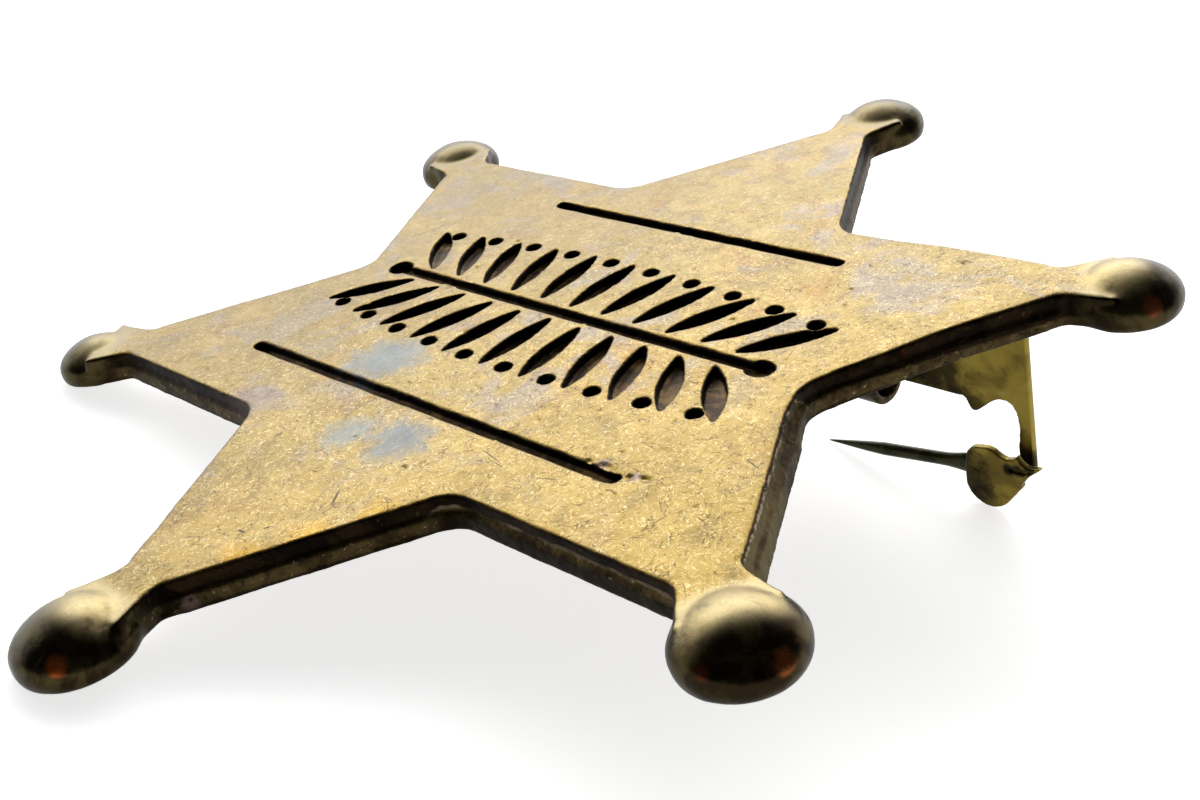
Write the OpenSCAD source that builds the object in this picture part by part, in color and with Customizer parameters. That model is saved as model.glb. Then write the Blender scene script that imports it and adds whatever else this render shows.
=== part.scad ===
// Six-point star badge with ball tips, lying face up on its open pin.
// The badge is drawn flat, with its face on z = 0 and its upper arm along +y, and then laid down.

/* [Star] */
// Distance from the middle of the star to the middle of each ball
ball_circle_r = 32.6; // [31.5:0.1:36]
// Thickness of the cast plate
plate_t = 2; // [1.6:0.1:3]
// Distance from the middle to the sharp corner of each notch, before it is rounded
notch_r = 18.2; // [16:0.1:20]
// Radius that rounds the bottom of each notch
notch_fillet_r = 2; // [0.5:0.1:3]
// Slope of an arm's sides against the arm's own line, in degrees
arm_half_angle = 30; // [27:0.5:32]
// How far the lower half of the side wall stands proud of the upper half
side_step = 0.12; // [0.05:0.01:0.25]
// Height of the proud lower half of the side wall
side_step_h = 1.05; // [0.5:0.05:1.4]

/* [Balls] */
// Radius of the flattened ball on each tip, seen from above
ball_r = 3.05; // [2.6:0.05:3.6]
// Radius of the ball's rounded rim, seen from the side
rim_r = 1.35; // [1:0.05:1.6]
// Depth of the ball's widest part below the face
ball_drop = 1.3; // [1.1:0.05:1.5]
// Height of the top of the ball above the face
ball_rise = 0.65; // [0.4:0.05:1]
// Width of the flat neck where an arm meets its ball
neck_w = 3; // [2.4:0.1:3.8]
// Radius of the hollow between ball and neck, seen from above
neck_fillet_r = 0.8; // [0.4:0.1:1.2]
// Radius of the hollow between ball and face, seen from the side
face_fillet_r = 1.2; // [0.6:0.1:2]

/* [Face] */
// Depth of the sunk lines and the sunk ornament
sink_depth = 0.6; // [0.3:0.05:1]
// Width of the two straight lines
line_w = 0.8; // [0.5:0.05:1.2]
// Length of the line above the ornament
upper_line_l = 24.4; // [18:0.2:26]
// Height of the upper line above the middle of the star
upper_line_y = 12.1; // [11:0.1:13]
// Length of the line below the ornament
lower_line_l = 32.2; // [24:0.2:33]
// Distance of the lower line below the middle of the star
lower_line_y = 10.9; // [10:0.1:12]
// Height of the middle of the ornament above the middle of the star
spray_y = 0.5; // [-0.5:0.1:1]
// Half length of the stem of the leaf spray
stem_l = 15.2; // [13:0.1:15.5]
// Width of the stem
stem_w = 0.8; // [0.5:0.05:1]
// Length of a leaf
leaf_l = 6; // [4:0.1:6.4]
// Width of a leaf at its middle
leaf_w = 1.3; // [0.9:0.05:1.5]
// Number of leaves from the middle leaf outwards
leaf_steps = 6; // [4:1:6]
// Distance along the stem from one leaf to the next
leaf_pitch = 2.6; // [2.3:0.1:2.6]
// How much further each leaf leans outwards than the one before, in degrees
leaf_lean = 8; // [6:0.5:9]
// Radius of the berries between the leaf tips
berry_r = 0.5; // [0.35:0.05:0.6]

/* [Pin frame] */
// Thickness of the brass sheet
sheet_t = 0.5; // [0.4:0.05:0.7]
// Distance from the middle of the ball down to the near side of the upright web
web_set = 3.3; // [2.8:0.1:4.3]
// Distance from the middle of the ball in to the leg's outer edge
leg_set = 4.8; // [4.1:0.1:5.4]
// Width of the leg
leg_w = 0.95; // [0.8:0.05:1.3]
// Depth of the web's lower edge below the face
web_depth = 7.7; // [7:0.1:8.2]
// Radius of the arch between the web and the leg
arch_r = 0.95; // [0.8:0.01:1.1]
// Radius of the rounded corner beside the arch
corner_r = 0.55; // [0.4:0.05:0.7]
// Width of the flange that lies on the back of the star
flange_w = 4.2; // [3.6:0.1:5]
// Distance from the leg's outer edge to the end of the flange
flange_set = 2.6; // [2:0.1:4]

/* [Knuckle and needle] */
// Depth of the hinge axis below the face
pivot_depth = 11.8; // [11.3:0.1:12.5]
// Distance from the leg's outer edge to the hinge axis
pivot_set = 3.05; // [2.8:0.05:3.4]
// Clear width of the knuckle, in which the eye of the needle turns
slot_w = 0.9; // [0.8:0.05:1.2]
// Slope of the fold that closes the knuckle, in degrees
fold_angle = 51.8; // [46:0.2:56]
// Radius of the rounded lobes of the knuckle
lobe_r = 1.5; // [1.4:0.05:1.8]
// Depth of the near lobe's middle below the hinge axis
lobe_drop = 0.6; // [0.5:0.05:0.9]
// How far the far lobe runs down the fold beyond the near one
fold_reach = 1.5; // [1:0.1:2]
// Radius of the rivet that the needle turns on
rivet_r = 0.33; // [0.25:0.01:0.4]
// Diameter of the needle's wire
wire_d = 0.8; // [0.6:0.05:0.9]
// Diameter of the needle's root, where the wire swells towards its eye
root_d = 0.84; // [0.8:0.01:0.86]
// Length of the needle's root, from the hinge axis
root_l = 2.2; // [2:0.1:3]
// Length of the needle from the hinge axis to its point
needle_l = 11.7; // [10:0.1:14]
// Length of the needle's point
point_l = 4.4; // [3:0.1:5]
// Radius of the flat end of the needle's point
point_r = 0.06; // [0.04:0.01:0.1]
// Radius of the eye of the needle
eye_r = 1; // [0.8:0.05:1.1]

/* [Catch] */
// Distance from the leg's outer edge to the near side of the catch
catch_set = 8.9; // [8.4:0.1:9.5]
// Width of the catch along the needle
catch_w = 3; // [2.2:0.1:3.4]
// Depth of the middle of the catch's curl below the face
catch_depth = 7.25; // [7:0.05:7.7]
// Inner radius of the catch's curl
curl_in_r = 1; // [0.6:0.05:1.2]
// Height of the catch's lip above the middle of its curl
lip_h = 0.7; // [0.3:0.05:1]

/* [Clearances] */
// Gap between pieces that lie on each other
seat_gap = 0.03; // [0.02:0.01:0.05]
// Radial gap round a fixed stud or rivet
fixed_gap = 0.02; // [0.01:0.01:0.05]
// Radial gap between the rivet and the turning eye
turn_gap = 0.06; // [0.03:0.01:0.1]
// Height of the open needle's point above the table
rest_gap = 0.05; // [0.02:0.01:0.2]

/* [Hidden] */
$fn = 96;

arms = 6;
arm_step = 360 / arms;
eps = 0.01;

// Star outline
notch_half_angle = arm_step / 2 + arm_half_angle;
tip_r = notch_r * sin(notch_half_angle) / sin(arm_half_angle);
neck_start_r = tip_r - neck_w / 2 / tan(arm_half_angle);
notch_fillet_at = notch_r + notch_fillet_r / sin(notch_half_angle);
neck_fillet_in = sqrt(pow(ball_r + neck_fillet_r, 2) - pow(neck_w / 2 + neck_fillet_r, 2));

// Ball section: a crown arc over a rim arc, cut off flat at the back
rim_in = ball_r - rim_r;
crown_h = ball_rise + ball_drop;
crown_r = (pow(rim_in, 2) + pow(crown_h, 2) - pow(rim_r, 2)) / (2 * (crown_h - rim_r));
crown_z = ball_rise - crown_r;
flat_r = rim_in + sqrt(pow(rim_r, 2) - pow(plate_t - ball_drop, 2));
fillet_out = sqrt(pow(crown_r + face_fillet_r, 2) - pow(face_fillet_r - crown_z, 2));
fillet_share = crown_r / (crown_r + face_fillet_r);

// Leaves and berries
leaf_arc_r = (pow(leaf_l, 2) + pow(leaf_w, 2)) / (4 * leaf_w);
leaf_root = stem_w / 2 + 0.3;
berry_out = leaf_root + leaf_l * 0.92;
function leaf_angle(i) = 90 - leaf_lean * i;

// Pin frame, seen along y as x and z
web_y = ball_circle_r * sin(arm_step / 2) - web_set;
leg_x = ball_circle_r * cos(arm_step / 2) - leg_set;
back_z = -plate_t - seat_gap;
web_z = -web_depth;
arch_x = leg_x - leg_w - arch_r + eps;
arch_z = web_z - arch_r * 0.58;
corner_x = arch_x - arch_r - corner_r * 1.6;
corner_z = web_z - corner_r * 0.55;
pivot_x = leg_x - pivot_set;
pivot_z = -pivot_depth;
near_y = web_y - slot_w - sheet_t;
far_y = web_y + sheet_t;
slot_mid_y = web_y - slot_w / 2;
near_lobe = [pivot_x + lobe_r * 0.53, pivot_z - lobe_drop];
fold_dir = [-cos(fold_angle), -sin(fold_angle)];
fold_out = [sin(fold_angle), -cos(fold_angle)];
far_lobe = near_lobe + fold_reach * fold_dir;
near_fold = near_lobe + (lobe_r - eps) * fold_out;
far_fold = far_lobe + (lobe_r - eps) * fold_out;
thorn = [leg_x, near_fold[1] + (leg_x - near_fold[0]) * tan(fold_angle)];
near_ear = [near_lobe[0], pivot_z + 0.05];
far_ear = [pivot_x - 0.1, pivot_z - lobe_drop - 0.25];
flange_end_x = leg_x - flange_set;
catch_x = leg_x - catch_set - catch_w;
flange_start_x = catch_x;
stud_r = 0.7;
stud_head_r = 1.15;
stud_head_h = 0.35;
stud_y = web_y - flange_w / 2;
stud_in = 2;
flange_z = back_z - sheet_t;
stud_head_z = flange_z - seat_gap;

// Catch curl, seen along x as y and z
curl_out_r = curl_in_r + sheet_t;
curl_y = web_y - curl_in_r;
curl_z = -catch_depth;

// How the badge lies: on the rims of the two lowest balls and on the far lobe.
// lean is the direction, from the middle, of the side that the pin lifts.
lean = [cos(arm_step), sin(arm_step)];
rim_along = -ball_circle_r * cos(arm_step / 2) - flat_r;
lobe_along = far_lobe[0] * lean[0] + web_y * lean[1];
function lobe_reach(tilt) = lobe_r * sqrt(pow(sin(tilt) * lean[0], 2) + pow(cos(tilt), 2));
function settled(tilt, steps) = steps == 0 ? tilt :
    settled(atan((-plate_t - far_lobe[1] + lobe_reach(tilt) / cos(tilt)) / (lobe_along - rim_along)), steps - 1);
tilt = settled(14, 12);
up = [sin(tilt) * lean[0], sin(tilt) * lean[1], cos(tilt)];
table_height = sin(tilt) * rim_along - cos(tilt) * plate_t;

// How far the open needle hangs: its point lies on the table.
pivot_height = up * [pivot_x, slot_mid_y, pivot_z] - table_height;
plane_share = sqrt(pow(up[0], 2) + pow(up[2], 2));
droop = asin((pivot_height - rest_gap - point_r) / needle_l / plane_share) - atan2(up[0], up[2]);

// Lays the flat badge down, with its lowest point on z = 0 and its box centred on the origin.
module laid_down() {
    translate([-ball_drop * sin(tilt) * lean[0], -ball_drop * sin(tilt) * lean[1], -table_height])
        rotate(a = tilt, v = [lean[1], -lean[0], 0])
            children();
}

// Stands a flat shape drawn in x and z upright, from y_from to y_to.
module upright(y_from, y_to) {
    translate([0, y_to, 0])
        rotate([90, 0, 0])
            linear_extrude(height = y_to - y_from)
                children();
}

// The star seen from above, with its straight sides moved out by grow.
module star_outline(grow = 0) {
    corner_r_out = notch_r + grow / sin(notch_half_angle);
    point_r_out = tip_r + grow / sin(arm_half_angle);
    polygon([for (i = [0 : 2 * arms - 1])
        let (a = i * arm_step / 2, r = i % 2 == 0 ? corner_r_out : point_r_out)
            [r * cos(a), r * sin(a)]]);
    for (i = [0 : arms - 1]) {
        rotate(i * arm_step)
            notch_rounding(corner_r_out);
        rotate((i + 0.5) * arm_step)
            neck_outline(grow);
    }
}

// Fills the sharp corner of one notch up to its rounding.
module notch_rounding(corner_at) {
    centre_at = corner_at + notch_fillet_r / sin(notch_half_angle);
    touch = notch_fillet_r / tan(notch_half_angle);
    side = [cos(notch_half_angle), sin(notch_half_angle)];
    difference() {
        polygon([
            [corner_at - touch, 0],
            [corner_at + touch * side[0], touch * side[1]],
            [corner_at + touch * side[0], -touch * side[1]]
        ]);
        translate([centre_at, 0])
            circle(r = notch_fillet_r);
    }
}

// The straight neck and the hollows beside it, along +x.
module neck_outline(grow = 0) {
    half_w = neck_w / 2 + grow;
    hollow_at = ball_circle_r - neck_fillet_in;
    hollow_y = neck_w / 2 + neck_fillet_r;
    touch = ball_r / (ball_r + neck_fillet_r);
    translate([notch_r, -half_w])
        square([ball_circle_r - notch_r, 2 * half_w]);
    for (side = [-1, 1])
        difference() {
            polygon([
                [hollow_at, side * neck_w / 4],
                [hollow_at, side * neck_w / 2],
                [hollow_at, side * hollow_y],
                [ball_circle_r - touch * neck_fillet_in, side * touch * hollow_y],
                [ball_circle_r, side * neck_w / 4]
            ]);
            translate([hollow_at, side * hollow_y])
                circle(r = neck_fillet_r);
        }
}

// Half section of a ball: x is the distance from its middle, y the height above the face.
module ball_section() {
    rim_dir = [rim_in, -ball_drop - crown_z] / (crown_r - rim_r);
    intersection() {
        union() {
            intersection() {
                translate([0, crown_z])
                    circle(r = crown_r);
                polygon([
                    [0, crown_z],
                    [0, crown_z + 2 * crown_r],
                    [2 * crown_r * rim_dir[0], crown_z + 2 * crown_r * rim_dir[1]]
                ]);
            }
            translate([rim_in, -ball_drop])
                circle(r = rim_r);
            translate([0, -plate_t])
                square([rim_in, plate_t - ball_drop]);
            polygon([[0, crown_z], [rim_in, -ball_drop], [rim_in, -plate_t], [0, -plate_t]]);
        }
        translate([0, -plate_t])
            square([ball_r, plate_t + ball_rise]);
    }
}

// Half section of the hollow that rises from the face to the ball.
module face_fillet_section() {
    difference() {
        translate([fillet_share * fillet_out, 0])
            square([(1 - fillet_share) * fillet_out, crown_z + fillet_share * (face_fillet_r - crown_z)]);
        translate([fillet_out, face_fillet_r])
            circle(r = face_fillet_r);
    }
}

// One ball on the end of the arm that lies along +x.
module ball() {
    translate([ball_circle_r, 0, 0]) {
        rotate_extrude()
            ball_section();
        intersection() {
            rotate_extrude()
                face_fillet_section();
            translate([-ball_r, -neck_w / 2, -eps])
                cube([ball_r, neck_w, crown_h]);
        }
    }
}

// One pointed leaf of the ornament, lying along +x from the stem.
module leaf() {
    intersection() {
        translate([leaf_l / 2, leaf_arc_r - leaf_w / 2])
            circle(r = leaf_arc_r);
        translate([leaf_l / 2, leaf_w / 2 - leaf_arc_r])
            circle(r = leaf_arc_r);
    }
}

// The leaf spray between the two lines, mirrored about both of its middle lines.
module spray() {
    square([2 * stem_l, stem_w], center = true);
    for (i = [0 : leaf_steps - 1], right = i == 0 ? [1] : [-1, 1], top = [-1, 1])
        translate([right * i * leaf_pitch, top * leaf_root])
            rotate(top * (90 - right * (90 - leaf_angle(i))))
                leaf();
    for (i = [0 : leaf_steps - 2], right = [-1, 1], top = [-1, 1])
        translate([
            right * ((i + 0.5) * leaf_pitch + berry_out * cos(leaf_angle(i + 0.5))),
            top * berry_out * sin(leaf_angle(i + 0.5))
        ])
            circle(r = berry_r);
    for (right = [0, 180])
        rotate(right)
            translate([stem_l + 0.3, 0])
                circle(r = stem_w);
}

// Everything that is sunk into the face.
module sunk_face() {
    translate([0, 0, -sink_depth])
        linear_extrude(height = sink_depth + 1) {
            translate([0, upper_line_y])
                square([upper_line_l, line_w], center = true);
            translate([0, -lower_line_y])
                square([lower_line_l, line_w], center = true);
            translate([0, spray_y])
                spray();
        }
}

// A cast stud on the back, closed over the flange.
module stud(x) {
    translate([x, stud_y, stud_head_z])
        cylinder(r = stud_r, h = -stud_head_z - plate_t + eps);
    translate([x, stud_y, stud_head_z - stud_head_h])
        cylinder(r = stud_head_r, h = stud_head_h);
}

module star() {
    color("darkgoldenrod")
        laid_down() {
            difference() {
                union() {
                    translate([0, 0, -plate_t])
                        linear_extrude(height = plate_t)
                            star_outline();
                    translate([0, 0, -plate_t])
                        linear_extrude(height = side_step_h)
                            star_outline(side_step);
                    for (i = [0 : arms - 1])
                        rotate((i + 0.5) * arm_step)
                            ball();
                }
                sunk_face();
            }
            stud(flange_start_x + stud_in);
            stud(flange_end_x - stud_in);
        }
}

// A flat strip with round ends, from one point to another.
module strip(from, to, r) {
    run = to - from;
    for (end = [from, to])
        translate(end)
            circle(r = r);
    translate(from)
        rotate(atan2(run[1], run[0]))
            translate([0, eps - r])
                square([norm(run), 2 * (r - eps)]);
}

// The web, the arch and the leg, seen along y.
module web_outline() {
    difference() {
        union() {
            translate([catch_x, web_z])
                square([leg_x - catch_x, back_z - web_z]);
            translate([corner_x, corner_z])
                circle(r = corner_r);
            translate([corner_x, corner_z])
                square([arch_x - corner_x, web_z - corner_z + eps]);
            translate([arch_x, arch_z])
                square([leg_x - arch_x, web_z - arch_z + eps]);
            translate([leg_x - leg_w, thorn[1]])
                square([leg_w, web_z - thorn[1]]);
        }
        translate([arch_x, arch_z])
            circle(r = arch_r);
    }
}

// The wall of the knuckle that carries on from the leg.
module far_wall_outline() {
    leg_in = leg_x - leg_w;
    strip(far_ear, far_lobe, lobe_r);
    polygon([
        far_lobe,
        far_fold,
        thorn,
        [leg_x, pivot_z + leg_w],
        [leg_in, pivot_z + leg_w],
        [leg_in, pivot_z + 0.2],
        [far_ear[0] + lobe_r * 0.8, pivot_z + 0.2],
        far_ear
    ]);
}

// The wall of the knuckle that is folded back over the eye.
module near_wall_outline() {
    strip(near_ear, near_lobe, lobe_r);
    polygon([
        near_lobe,
        near_fold,
        thorn,
        near_ear + (lobe_r - eps) * [cos(50), sin(50)],
        near_ear
    ]);
}

// The fold itself, as thick as the sheet, along the slanted edge that both walls share.
module fold_outline() {
    intersection() {
        near_wall_outline();
        far_wall_outline();
        polygon([
            thorn,
            far_fold,
            far_fold - sheet_t * fold_out,
            thorn - sheet_t * fold_out
        ]);
    }
}

// The catch: the web runs down, curls towards the near side and rises again as a lip.
module catch_profile() {
    translate([web_y, curl_z])
        square([sheet_t, web_z - curl_z + 2 * sheet_t]);
    translate([curl_y - curl_out_r, curl_z])
        square([sheet_t, lip_h]);
    translate([curl_y - curl_in_r - sheet_t / 2, curl_z + lip_h])
        circle(r = sheet_t / 2);
    difference() {
        translate([curl_y, curl_z])
            circle(r = curl_out_r);
        translate([curl_y, curl_z])
            circle(r = curl_in_r);
        translate([curl_y - 2 * curl_out_r, curl_z])
            square([4 * curl_out_r, 2 * curl_out_r]);
    }
}

module flange() {
    difference() {
        translate([flange_start_x, web_y - flange_w + sheet_t, flange_z])
            cube([flange_end_x - flange_start_x, flange_w, sheet_t]);
        for (x = [flange_start_x + stud_in, flange_end_x - stud_in])
            translate([x, stud_y, flange_z - eps])
                cylinder(r = stud_r + fixed_gap, h = sheet_t + 2 * eps);
    }
}

module pin_frame() {
    color("olive")
        laid_down()
            difference() {
                union() {
                    flange();
                    upright(web_y, far_y)
                        web_outline();
                    upright(web_y, far_y)
                        far_wall_outline();
                    upright(near_y, near_y + sheet_t)
                        near_wall_outline();
                    upright(near_y, far_y)
                        fold_outline();
                    translate([catch_x, 0, 0])
                        rotate([90, 0, 90])
                            linear_extrude(height = catch_w)
                                catch_profile();
                }
                translate([pivot_x, far_y + eps, pivot_z])
                    rotate([90, 0, 0])
                        cylinder(r = rivet_r + fixed_gap, h = far_y - near_y + 2 * eps);
            }
}

module hinge_rivet() {
    color("peru")
        laid_down()
            translate([pivot_x, far_y, pivot_z])
                rotate([90, 0, 0])
                    cylinder(r = rivet_r, h = far_y - near_y);
}

module needle() {
    straight_l = needle_l - point_l;
    color("darkolivegreen")
        laid_down()
            translate([pivot_x, slot_mid_y, pivot_z])
                rotate([0, -droop, 0])
                    difference() {
                        union() {
                            rotate([90, 0, 0])
                                cylinder(r = eye_r, h = wire_d, center = true);
                            rotate([0, -90, 0])
                                cylinder(r1 = root_d / 2, r2 = wire_d / 2, h = root_l);
                            translate([-root_l, 0, 0])
                                rotate([0, -90, 0])
                                    cylinder(r = wire_d / 2, h = straight_l - root_l);
                            translate([-straight_l, 0, 0])
                                rotate([0, -90, 0])
                                    cylinder(r1 = wire_d / 2, r2 = point_r, h = point_l);
                        }
                        rotate([90, 0, 0])
                            cylinder(r = rivet_r + turn_gap, h = 2 * wire_d, center = true);
                    }
}

star();
pin_frame();
hinge_rivet();
needle();
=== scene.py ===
import math
import random
import bpy
import numpy as np
from mathutils import Matrix, Vector


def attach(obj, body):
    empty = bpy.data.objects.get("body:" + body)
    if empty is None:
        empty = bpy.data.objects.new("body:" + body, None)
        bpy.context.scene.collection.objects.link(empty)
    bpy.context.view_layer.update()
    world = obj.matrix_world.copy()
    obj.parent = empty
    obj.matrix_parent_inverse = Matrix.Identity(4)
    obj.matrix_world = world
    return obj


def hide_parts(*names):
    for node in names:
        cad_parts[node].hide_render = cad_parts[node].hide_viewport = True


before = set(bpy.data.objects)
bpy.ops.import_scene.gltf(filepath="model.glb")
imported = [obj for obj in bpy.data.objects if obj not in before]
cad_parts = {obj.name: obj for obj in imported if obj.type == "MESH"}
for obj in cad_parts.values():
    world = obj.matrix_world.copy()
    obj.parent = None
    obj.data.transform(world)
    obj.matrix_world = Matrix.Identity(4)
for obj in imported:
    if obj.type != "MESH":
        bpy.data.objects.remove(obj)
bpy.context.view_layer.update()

# How the badge lies: the flat badge, face on z = 0 in millimetres, is tilted over its two lowest balls.
lay = {
    "tilt": 14.0084,                      # degrees
    "axis": (0.8660254, -0.5, 0.0),
    "shift": (-0.157342, -0.272524, 9.465511),
    "millimetre": 0.001,
}
layTurn = Matrix.Rotation(math.radians(lay["tilt"]), 3, Vector(lay["axis"]))
layDown = (Matrix.Translation(Vector(lay["shift"]) * lay["millimetre"])
           @ layTurn.to_4x4() @ Matrix.Scale(lay["millimetre"], 4))
up = layTurn @ Vector((0, 0, 1))

# Camera, as the photograph was taken: low, from the right of the lower arms.
view = {
    "place": (65.424, -50.415, 39.814),   # on the flat badge, mm
    "right": (0.6948, 0.6916, -0.1973),
    "down": (0.2293, -0.4731, -0.8506),
    "lens": 46.36,
    "sensor": 36,
}
cameraData = bpy.data.cameras.new("camera")
cameraData.lens = view["lens"]
cameraData.sensor_fit = "HORIZONTAL"
cameraData.sensor_width = view["sensor"]
cameraData.clip_start = 0.001
camera = bpy.data.objects.new("camera", cameraData)
bpy.context.scene.collection.objects.link(camera)
rightWay = (layTurn @ Vector(view["right"])).normalized()
upWay = -(layTurn @ Vector(view["down"]))
upWay = (upWay - rightWay * upWay.dot(rightWay)).normalized()
backWay = rightWay.cross(upWay)
turn = Matrix((rightWay, upWay, backWay)).transposed().to_4x4()
camera.matrix_world = Matrix.Translation(layDown @ Vector(view["place"])) @ turn
bpy.context.scene.camera = camera
print("camera set")


# sRGB hex to linear rgba
def linear(code):
    parts = [int(code[i:i + 2], 16) / 255 for i in (1, 3, 5)]
    return tuple(c / 12.92 if c <= 0.04045 else ((c + 0.055) / 1.055) ** 2.4 for c in parts) + (1.0,)


def deselect():
    if bpy.context.mode != "OBJECT":
        bpy.ops.object.mode_set(mode="OBJECT")
    bpy.ops.object.select_all(action="DESELECT")


# makes one object the selected and active one
def pick(thing):
    deselect()
    thing.select_set(True)
    bpy.context.view_layer.objects.active = thing
    return thing


# names the object that an operator has just added
def named(name):
    thing = bpy.context.active_object
    thing.name = thing.data.name = name
    return thing


# in edit mode: only the vertices, edges or faces whose middle and normal pass the test are selected
def pickParts(thing, kind, test):
    bpy.ops.object.mode_set(mode="EDIT")
    bpy.ops.mesh.select_mode(type=kind)
    bpy.ops.mesh.select_all(action="DESELECT")
    bpy.ops.object.mode_set(mode="OBJECT")
    mesh = thing.data
    if kind == "VERT":
        for v in mesh.vertices:
            v.select = bool(test(v.co, v.normal))
    elif kind == "EDGE":
        for e in mesh.edges:
            a, b = (mesh.vertices[i].co for i in e.vertices)
            e.select = bool(test((a + b) / 2, b - a))
    else:
        for f in mesh.polygons:
            f.select = bool(test(f.center, f.normal))
    bpy.ops.object.mode_set(mode="EDIT")


# adds one modifier and applies it
def modify(thing, kind, **settings):
    pick(thing)
    m = thing.modifiers.new(kind.lower(), kind)
    for key, value in settings.items():
        setattr(m, key, value)
    bpy.ops.object.modifier_apply(modifier=m.name)


def join(things, name):
    deselect()
    for t in things:
        t.select_set(True)
    bpy.context.view_layer.objects.active = things[0]
    bpy.ops.object.join()
    return named(name)


def copyOf(thing, name):
    new = thing.copy()
    new.data = thing.data.copy()
    new.name = new.data.name = name
    bpy.context.scene.collection.objects.link(new)
    return new


def applyPlace(thing):
    pick(thing)
    bpy.ops.object.transform_apply(location=True, rotation=True, scale=True)


# merges doubles, then turns all faces outwards
def mergeAndTurnOut(thing, gap=0.0005):
    pick(thing)
    bpy.ops.object.mode_set(mode="EDIT")
    bpy.ops.mesh.select_mode(type="VERT")
    bpy.ops.mesh.select_all(action="SELECT")
    bpy.ops.mesh.remove_doubles(threshold=gap)
    bpy.ops.mesh.normals_make_consistent(inside=False)
    bpy.ops.object.mode_set(mode="OBJECT")


# lays a piece that was modelled on the flat badge down into its place and hands it to the frame
def finishPiece(thing, body, node, material):
    pick(thing)
    thing.matrix_world = layDown
    bpy.ops.object.transform_apply(location=True, rotation=True, scale=True)
    bpy.ops.object.shade_smooth()
    thing.data.materials.clear()
    thing.data.materials.append(material)
    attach(thing, body)
    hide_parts(node)
    print(f"{thing.name}: {len(thing.data.polygons)} faces")


# Materials

# adds one node with its settings, and a value or a link at each input, and gives one of its outputs
def add(tree, kind, inputs, out=0, **settings):
    new = tree.nodes.new("ShaderNode" + kind)
    for key, value in settings.items():
        setattr(new, key, value)
    for key, value in inputs.items():
        if isinstance(value, bpy.types.NodeSocket):
            tree.links.new(value, new.inputs[key])
        else:
            new.inputs[key].default_value = value
    return new.outputs[out]


def newMaterial(name):
    material = bpy.data.materials.new(name)
    material.use_nodes = True
    tree = material.node_tree
    tree.nodes.clear()
    out = tree.nodes.new("ShaderNodeOutputMaterial")
    shader = tree.nodes.new("ShaderNodeBsdfPrincipled")
    tree.links.new(shader.outputs[0], out.inputs[0])
    return material, tree, shader


# object coordinates turned back to the flat badge in millimetres, and how far a face looks up from it
def flatBadge(tree):
    place = add(tree, "Mapping", {
        0: add(tree, "TexCoord", {}, "Object"),
        1: tuple(c * lay["millimetre"] for c in lay["shift"]),
        2: tuple(layTurn.to_euler()),
        3: (lay["millimetre"],) * 3,
    }, vector_type="TEXTURE")
    facing = add(tree, "VectorMath", {0: add(tree, "TexCoord", {}, "Normal"), 1: tuple(up)}, 1,
                 operation="DOT_PRODUCT")
    return place, facing


# the noises of a table: name: (period in mm, detail, roughness, distortion)
def patternsOf(tree, place, table):
    noises = {}
    for seed, (name, (period, detail, rough, twist)) in enumerate(table.items()):
        noises[name] = add(tree, "TexNoise", {
            "Vector": place, "W": seed * 3.7, "Scale": 1 / period,   # each noise is cut from another place
            "Detail": detail, "Roughness": rough, "Distortion": twist,
        }, noise_dimensions="4D")
    return noises


# lays colours over a base: (pattern, none at, full at, hex, most)
def layered(tree, colour, patterns, layers):
    for pattern, none, full, code, most in layers:
        share = add(tree, "MapRange", {0: patterns[pattern], 1: none, 2: full, 4: most},
                    interpolation_type="SMOOTHSTEP")
        colour = add(tree, "Mix", {0: share, 6: colour, 7: linear(code)}, 2, data_type="RGBA")
    return colour


# how ragged the stains are, in shares of their radius, and how often their edge turns in a mm
stainEdge = {"drift": 0.8, "turns": 0.9, "none": 1.5, "full": 0.8}


# lays ragged round stains over a colour: x, y, z and radius in mm, hex, most
def blotted(tree, colour, place, mottle, table):
    drift = add(tree, "TexNoise", {"Vector": place, "Scale": stainEdge["turns"], "Detail": 4.0}, 1)
    for x, y, z, radius, code, most in table:
        reach = radius * stainEdge["drift"]
        spread = add(tree, "VectorMath", {0: drift, 1: (reach,) * 3, 2: (-reach / 2,) * 3},
                     operation="MULTIPLY_ADD")
        driven = add(tree, "VectorMath", {0: place, 1: spread}, operation="ADD")
        away = add(tree, "VectorMath", {0: driven, 1: (x, y, z)}, 1, operation="DISTANCE")
        ragged = add(tree, "Math", {0: mottle, 1: radius, 2: away}, operation="MULTIPLY_ADD")
        share = add(tree, "MapRange", {
            0: ragged, 1: radius * stainEdge["none"], 2: radius * stainEdge["full"], 4: most,
        }, interpolation_type="SMOOTHSTEP")
        colour = add(tree, "Mix", {0: share, 6: colour, 7: linear(code)}, 2, data_type="RGBA")
    return colour


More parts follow.
